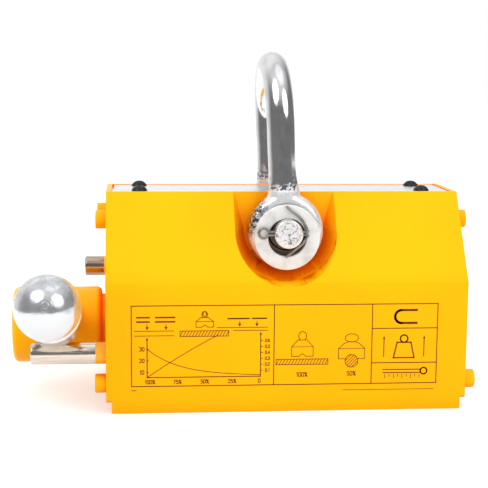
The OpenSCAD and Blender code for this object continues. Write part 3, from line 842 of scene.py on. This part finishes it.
class Print:
    """Flat ink on the front face: closed prisms a few hundredths of a millimetre thick."""

    def __init__(self):
        self.bm = bmesh.new()

    def area(self, points):
        """One convex area from (x, z) points."""
        back = [self.bm.verts.new(mm(x, FRONT_Y + INK_IN, z)) for x, z in points]
        face = [self.bm.verts.new(mm(x, FRONT_Y - INK_T, z)) for x, z in points]
        count = len(points)
        self.bm.faces.new(back[::-1])
        self.bm.faces.new(face)
        for k in range(count):
            j = (k + 1) % count
            self.bm.faces.new((back[k], back[j], face[j], face[k]))

    def line(self, points, width=THIN):
        """A band along points, drawn as one rectangle for each stretch with round-ish joins."""
        for (x0, z0), (x1, z1) in zip(points, points[1:]):
            length = math.hypot(x1 - x0, z1 - z0)
            if length < 1e-6:
                continue
            h = width / 2
            ux, uz = (x1 - x0) / length * h, (z1 - z0) / length * h
            x0, z0, x1, z1 = x0 - ux * 0.7, z0 - uz * 0.7, x1 + ux * 0.7, z1 + uz * 0.7
            px, pz = -uz, ux
            self.area([(x0 + px, z0 + pz), (x0 - px, z0 - pz), (x1 - px, z1 - pz), (x1 + px, z1 + pz)])

    def frame(self, left, low, right, high, width=LINE):
        """The outline of an upright rectangle."""
        self.line([(left, low), (right, low), (right, high), (left, high), (left, low)], width)

    def arc(self, x, z, rx, rz, start=0, end=360, width=THIN, steps=28):
        """Part of an ellipse from start to end degrees, counted from the right."""
        angles = [math.radians(start + (end - start) * i / steps) for i in range(steps + 1)]
        self.line([(x + rx * math.cos(a), z + rz * math.sin(a)) for a in angles], width)

    def arrow_down(self, x, z, length=2.6):
        """An arrow whose tip is at z."""
        self.line([(x, z + length), (x, z + 0.9)])
        self.area([(x - 0.75, z + 1.5), (x, z), (x + 0.75, z + 1.5)])

    def arrow_up(self, x, z, length):
        """An arrow that starts at z."""
        self.line([(x, z), (x, z + length - 0.6)], LINE)
        self.area([(x - 0.55, z + length - 1.3), (x + 0.55, z + length - 1.3), (x, z + length)])

    def hatched(self, left, low, right, high):
        """A plate in section: a frame with slanted hatching."""
        self.frame(left, low, right, high, THIN)
        lean = 0.55 * (high - low)
        count = round((right - left - lean) / HATCH)
        for i in range(count + 1):
            x = left + (right - left - lean) * i / count
            self.line([(x, low), (x + lean, high)])

    # strokes of each figure, on a grid 2 wide and 4 high
    GLYPHS = {
        "0": [[(0.5, 0), (1.5, 0), (2, 0.7), (2, 3.3), (1.5, 4), (0.5, 4), (0, 3.3), (0, 0.7), (0.5, 0)]],
        "1": [[(0.4, 3.2), (1.1, 4), (1.1, 0)]],
        "2": [[(0, 3.2), (0.5, 4), (1.5, 4), (2, 3.3), (2, 2.6), (0, 0), (2, 0)]],
        "3": [[(0, 3.4), (0.5, 4), (1.5, 4), (2, 3.4), (2, 2.6), (1.3, 2.1), (2, 1.5), (2, 0.7), (1.5, 0),
               (0.5, 0), (0, 0.6)]],
        "4": [[(1.5, 0), (1.5, 4), (0, 1.2), (2, 1.2)]],
        "5": [[(1.9, 4), (0.3, 4), (0.1, 2.3), (1.4, 2.5), (2, 1.9), (2, 0.7), (1.5, 0), (0.5, 0), (0, 0.6)]],
        "6": [[(1.8, 3.5), (1.4, 4), (0.6, 4), (0, 3.3), (0, 0.7), (0.5, 0), (1.5, 0), (2, 0.7), (2, 1.7),
               (1.5, 2.3), (0.5, 2.3), (0, 1.6)]],
        "7": [[(0, 4), (2, 4), (0.7, 0)]],
        ".": [[(0.3, 0), (0.3, 0.35)]],
        "%": [[(0, 0), (2.4, 4)], [(0.1, 3.9), (0.9, 3.9), (0.9, 2.7), (0.1, 2.7), (0.1, 3.9)],
              [(1.5, 1.3), (2.3, 1.3), (2.3, 0.1), (1.5, 0.1), (1.5, 1.3)]],
    }

    GAP = 0.95                      # after each figure
    WIDTHS = {".": 0.05, "%": 2.35, "1": 1.35}

    def number(self, text, x, z, height, width=THIN):
        """Figures centred on x, standing on z."""
        unit = height / 4
        advances = [self.WIDTHS.get(c, 2.0) + self.GAP for c in text]
        left = x - (sum(advances) - self.GAP) * unit / 2
        for c, advance in zip(text, advances):
            for stroke in self.GLYPHS[c]:
                self.line([(left + a * unit, z + b * unit) for a, b in stroke], width)
            left += advance * unit


def lifter_icon(p, x, z, width, height, ring):
    """The lifter seen from its end: block with a V groove, sloping top and a ring."""
    half = width / 2
    top = half * 0.42
    shoulder = z + height * 0.58
    notch = half * 0.34
    p.line([(x - half, z), (x - half, shoulder), (x - top, z + height), (x + top, z + height),
            (x + half, shoulder), (x + half, z), (x + notch, z), (x, z + notch * 0.75),
            (x - notch, z), (x - half, z)])
    p.line([(x - half, shoulder), (x + half, shoulder)], THIN * 0.8)
    p.arc(x, z + height + ring * 0.85, ring * 0.85, ring, -60, 240)


def big_chart(p):
    """Pull against load thickness and air gap: two axes, two curves, numbers on the scales."""
    left, right, base = -64.0, -12.7, 16.6
    p.line([(left, base), (right, base)], LINE)
    p.arrow_up(left, base - 0.2, 18.7)
    p.arrow_up(right, base - 0.2, 20.8)
    for i, text in enumerate(("10", "20", "30")):
        z = 19.0 + 5.35 * i
        p.line([(left - 0.2, z), (left + 0.7, z)])
        p.number(text, left - 2.4, z - 0.85, 1.75)
    for i in range(6):
        z = 19.4 + 2.75 * i
        p.line([(right, z), (right + 1.0, z)])
        p.number(f"0.{i + 1}", right + 3.1, z - 0.65, 1.35, THIN * 0.9)
    for i, text in enumerate(("100%", "75%", "50%", "25%", "0")):
        p.number(text, left + 1.2 + 12.4 * i, 13.65, 1.7)
    fall = [i / 24 for i in range(25)]
    p.line([(left + (right - left) * t, base + 0.35 + 12.8 * math.exp(-3.4 * t)) for t in fall])
    rise = [i / 16 for i in range(17)]
    p.line([(left + 32.0 * t, base + 19.3 * (1.16 * t - 0.16 * t ** 2)) for t in rise])


def chart_header(p):
    """Arrows, layer lines, the small lifter over a plate, and bars in place of words."""
    for x in (-64.0, -55.5):
        p.arrow_down(x, 38.4)
    for z in (38.0, 35.8):
        p.line([(-69.7, z), (-52.0, z)])
    for x in (-22.3, -14.5):
        p.arrow_down(x, 39.6)
    p.line([(-32.5, 39.3), (-9.5, 39.3)])
    p.line([(-25.0, 37.9), (-9.5, 37.9)])
    icon_x = -38.1
    lifter_icon(p, icon_x, 39.6, 7.9, 4.4, 1.5)
    p.arc(icon_x, 45.6, 0.8, 1.1)
    p.hatched(-49.2, 35.4, -27.2, 37.9)
    for x0, x1 in ((-68.6, -63.0), (-60.2, -51.6), (-27.6, -18.0), (-16.6, -10.2)):
        for z in (44.2, 42.2) if x0 < -50 else (43.4,):
            p.line([(x0, z), (x1, z)], 0.7)


def load_pictures(p):
    """Full pull on a plate, half pull on a round bar."""
    lifter_icon(p, 6.4, 25.6, 9.8, 7.6, 2.1)
    p.hatched(-5.6, 21.8, 18.2, 24.3)
    p.number("100%", 6.2, 16.2, 1.9)
    x, low, shoulder, half, foot = 29.0, 24.2, 29.0, 6.0, 3.0
    p.line([(x - half, low), (x - half, shoulder), (x - 3.4, 31.4), (x - 1.2, 32.1), (x + 1.2, 32.1),
            (x + 3.4, 31.4), (x + half, shoulder), (x + half, low), (x + foot, low)])
    p.line([(x - half, low), (x - foot, low)])
    p.line([(x - half, shoulder), (x + half, shoulder)], THIN * 0.8)
    p.arc(x, 33.9, 3.0, 1.9)
    bar_z, bar_r = 23.2, 2.95
    p.arc(x, bar_z, bar_r, bar_r)
    turn = math.sqrt(0.5)
    for k in (-2, -1, 0, 1, 2):
        offset = k * 1.05
        reach = math.sqrt(bar_r ** 2 - offset ** 2) * 0.94
        p.line([(x + (-reach + offset) * turn, bar_z + (-reach - offset) * turn),
                (x + (reach + offset) * turn, bar_z + (reach - offset) * turn)])
    p.number("50%", x, 16.4, 1.9)


def rating_cells(p):
    """Three cells with plain pictures: a magnet, a weight with an arrow, and a thermometer."""
    x = 53.2
    bold = 1.1
    p.arc(x - 1.4, 43.6, 3.0, 3.0, 90, 270, bold, 20)
    for z in (46.6, 40.6):
        p.line([(x - 1.4, z), (x + 3.4, z)], bold)
        p.line([(x + 4.2, z), (x + 5.6, z)], bold)
    p.line([(x - 4.8, 24.4), (x + 4.8, 24.4), (x + 3.2, 31.6), (x - 3.2, 31.6), (x - 4.8, 24.4)], 0.6)
    p.arc(x, 33.3, 1.7, 1.7, 0, 360, 0.6)
    for away in (9.3, -9.3):
        p.arrow_up(x + away, 25.0, 9.6)
    for z in (17.4, 18.9):
        p.line([(x - 9.5, z), (x + 8.0, z)], 0.45)
    p.arc(x + 9.4, 18.15, 1.5, 1.5, 0, 360, 0.6)
    for i in range(9):
        tick = x - 8.6 + 2.0 * i
        p.line([(tick, 16.7), (tick, 15.6 if i % 2 else 14.9)])


def add_chart():
    """The printed chart: its frame, two bars under it, and what stands in each column."""
    p = Print()
    p.frame(CHART_LEFT, CHART_LOW, CHART_RIGHT, CHART_HIGH)
    for x in COLUMNS:
        p.line([(x, CHART_LOW), (x, CHART_HIGH)], LINE)
    for z in ROWS:
        p.line([(COLUMNS[-1], z), (CHART_RIGHT, z)], LINE)
    p.line([(25.2, 9.6), (67.4, 9.6)], THIN * 0.8)
    p.line([(CHART_LEFT, 10.6), (-68.9, 10.6)])
    big_chart(p)
    chart_header(p)
    load_pictures(p)
    rating_cells(p)
    bmesh.ops.recalc_face_normals(p.bm, faces=p.bm.faces)
    piece = new_object("printed_chart", p.bm, [ink])
    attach(piece, "body")


add_chart()


# ---------------------------------------------------------------- plain CAD nodes keep their shape

CAD_MATERIALS = {
    "lower_separator": brass, "bore_separator": brass, "stator_magnets": nickel, "magnet_spacer": rolled,
    "left_bush": bronze, "right_bush": bronze, "rotor_front_half": turned, "rotor_rear_half": turned,
    "rotor_magnets": nickel, "drive_shaft": turned, "stub_shaft": turned, "left_rotor_screws": black,
    "right_rotor_screws": black, "shaft_key": turned, "retaining_washer": zinc, "retaining_screw": black,
    "detent_screw": black, "detent_spring": turned, "detent_ball": pin_steel,
}
for node, material in CAD_MATERIALS.items():
    nodes[node].data.materials.clear()
    nodes[node].data.materials.append(material)


# ---------------------------------------------------------------- camera, light and floor

RIGHT_LAMP = Vector((0.61, -0.59, 0.52))
LEFT_LAMP = Vector((-0.49, -0.47, 0.73))
LAMP_AWAY = 1.2                     # metres from the ball


def add_camera():
    """The viewing angle of the product picture: a little from the left and above."""
    camera = bpy.data.objects.new("camera", bpy.data.cameras.new("camera"))
    camera.data.lens = 92.4
    camera.data.sensor_width = 36
    camera.data.clip_start = 0.01
    camera.data.clip_end = 20
    place = mm(-69.7, -597.5, 159.3)
    yaw, pitch, roll = (math.radians(a) for a in (5.08, 8.42, 0.49))
    turn = (Matrix.Rotation(-yaw, 4, "Z") @ Matrix.Rotation(math.pi / 2 - pitch, 4, "X")
            @ Matrix.Rotation(roll, 4, "Z"))
    camera.matrix_world = Matrix.Translation(place) @ turn
    bpy.context.scene.collection.objects.link(camera)
    bpy.context.scene.camera = camera


def add_area(name, place, target, width, height, power):
    """A rectangular lamp in metres and watts, unseen itself and in reflections."""
    lamp = bpy.data.lights.new(name, "AREA")
    lamp.shape = "RECTANGLE"
    lamp.size = width
    lamp.size_y = height
    lamp.energy = power
    piece = bpy.data.objects.new(name, lamp)
    piece.location = place
    piece.visible_camera = False
    piece.visible_glossy = False
    piece.rotation_euler = (target - place).to_track_quat("-Z", "Y").to_euler()
    bpy.context.scene.collection.objects.link(piece)


def floor_sheet(name, height, left, albedo, glow):
    """A pale table top that ends at left and half a metre before the object, in metres."""
    bm = bmesh.new()
    right, front, back = 3, -0.55, 4
    corners = [(left, front), (right, front), (right, back), (left, back)]
    bm.faces.new([bm.verts.new((x, y, height)) for x, y in corners])
    g = Graph(name, roughness=0.6, Emission_Color=(1, 1, 1, 1), Emission_Strength=glow)
    g.set("Base Color", g.mix(g.noise(120, 2, 0.4), (albedo,) * 3, (0.97 * albedo,) * 3))
    floor = new_object(name, bm, [g.material])
    return floor


def add_floor():
    """A bright sheet for the eye and for reflections, and a dimmer one that sends light back up."""
    seen = floor_sheet("floor", 0.0, -0.42, 0.62, 0.45)
    seen.visible_diffuse = False
    bounce = floor_sheet("floor_bounce", -0.0002, -3, 0.9, 0.0)
    bounce.visible_camera = False
    bounce.visible_glossy = False


class World:
    """Builds the studio round the object."""

    def __init__(self):
        world = bpy.data.worlds.new("studio")
        bpy.context.scene.world = world
        world.use_nodes = True
        self.tree = world.node_tree
        self.tree.nodes.clear()
        place = self.tree.nodes.new("ShaderNodeTexCoord")
        split = self.tree.nodes.new("ShaderNodeSeparateXYZ")
        self.tree.links.new(place.outputs["Generated"], split.inputs[0])
        self.way = split.outputs
        self.place = place.outputs["Generated"]

    def toward(self, direction):
        """1 towards a direction, -1 away from it."""
        node = self.tree.nodes.new("ShaderNodeVectorMath")
        node.operation = "DOT_PRODUCT"
        self.tree.links.new(self.place, node.inputs[0])
        node.inputs[1].default_value = direction
        return node.outputs["Value"]

    def remap(self, axis, low, high, a, b):
        """A smooth change of brightness along one axis, or along a direction."""
        node = self.tree.nodes.new("ShaderNodeMapRange")
        node.interpolation_type = "SMOOTHSTEP"
        way = self.way[axis] if isinstance(axis, str) else self.toward(axis)
        self.tree.links.new(way, node.inputs["Value"])
        for name, number in (("From Min", low), ("From Max", high), ("To Min", a), ("To Max", b)):
            node.inputs[name].default_value = number
        return node.outputs["Result"]

    def glow(self, way, inner, outer, strength):
        """A soft round light of a half angle between inner and outer degrees."""
        edge, core = math.cos(math.radians(outer)), math.cos(math.radians(inner))
        return self.remap(way.normalized(), edge, core, 0.0, strength)

    def add(self, *values):
        """The sum of several brightnesses."""
        total = values[0]
        for value in values[1:]:
            node = self.tree.nodes.new("ShaderNodeMath")
            self.tree.links.new(total, node.inputs[0])
            self.tree.links.new(value, node.inputs[1])
            total = node.outputs[0]
        return total

    def background(self, strength):
        """A white background, of one strength or of a socket's."""
        node = self.tree.nodes.new("ShaderNodeBackground")
        node.inputs["Color"].default_value = (1, 1, 1, 1)
        if isinstance(strength, (int, float)):
            node.inputs["Strength"].default_value = strength
        else:
            self.tree.links.new(strength, node.inputs["Strength"])
        return node.outputs[0]

    def choose(self, kind, otherwise, chosen):
        """One background for rays of a kind, another for the rest."""
        path = self.tree.nodes.new("ShaderNodeLightPath")
        mix = self.tree.nodes.new("ShaderNodeMixShader")
        self.tree.links.new(path.outputs[kind], mix.inputs["Fac"])
        self.tree.links.new(otherwise, mix.inputs[1])
        self.tree.links.new(chosen, mix.inputs[2])
        return mix.outputs[0]


def add_world():
    """White behind the object; brighter above than below; a dim room before it in reflections."""
    w = World()
    soft = w.background(w.add(w.remap("Z", -0.1, 0.95, 1.05, 1.45), w.remap("X", -0.2, -1.0, 0.0, 0.3)))
    depth = w.remap((-0.3, 0.95, 0.0), 0.25, 0.95, 0.20, 0.95)
    above = w.remap("Z", 0.4, 0.9, 0.0, 0.6)
    windows = [w.glow(way, 16, 24, 2.0) for way in (RIGHT_LAMP, LEFT_LAMP)]
    overhead = w.glow(Vector((0.2, 0.0, 0.98)), 12, 28, 0.45)
    room = w.background(w.add(depth, above, *windows, overhead))
    seen = w.choose("Is Glossy Ray", soft, room)
    output = w.tree.nodes.new("ShaderNodeOutputWorld")
    w.tree.links.new(w.choose("Is Camera Ray", seen, w.background(1.0)), output.inputs["Surface"])


def add_lights():
    """The same two directions as the windows in the world, as lamps that cast light."""
    ball = lever_point(BALL_S)
    add_area("right_softbox", ball + LAMP_AWAY * RIGHT_LAMP, ball, 0.75, 0.6, 2.3)
    add_area("left_softbox", ball + LAMP_AWAY * LEFT_LAMP, ball, 0.7, 0.6, 2.1)


add_camera()
add_world()
add_lights()
add_floor()
bpy.context.scene.view_settings.view_transform = "Standard"
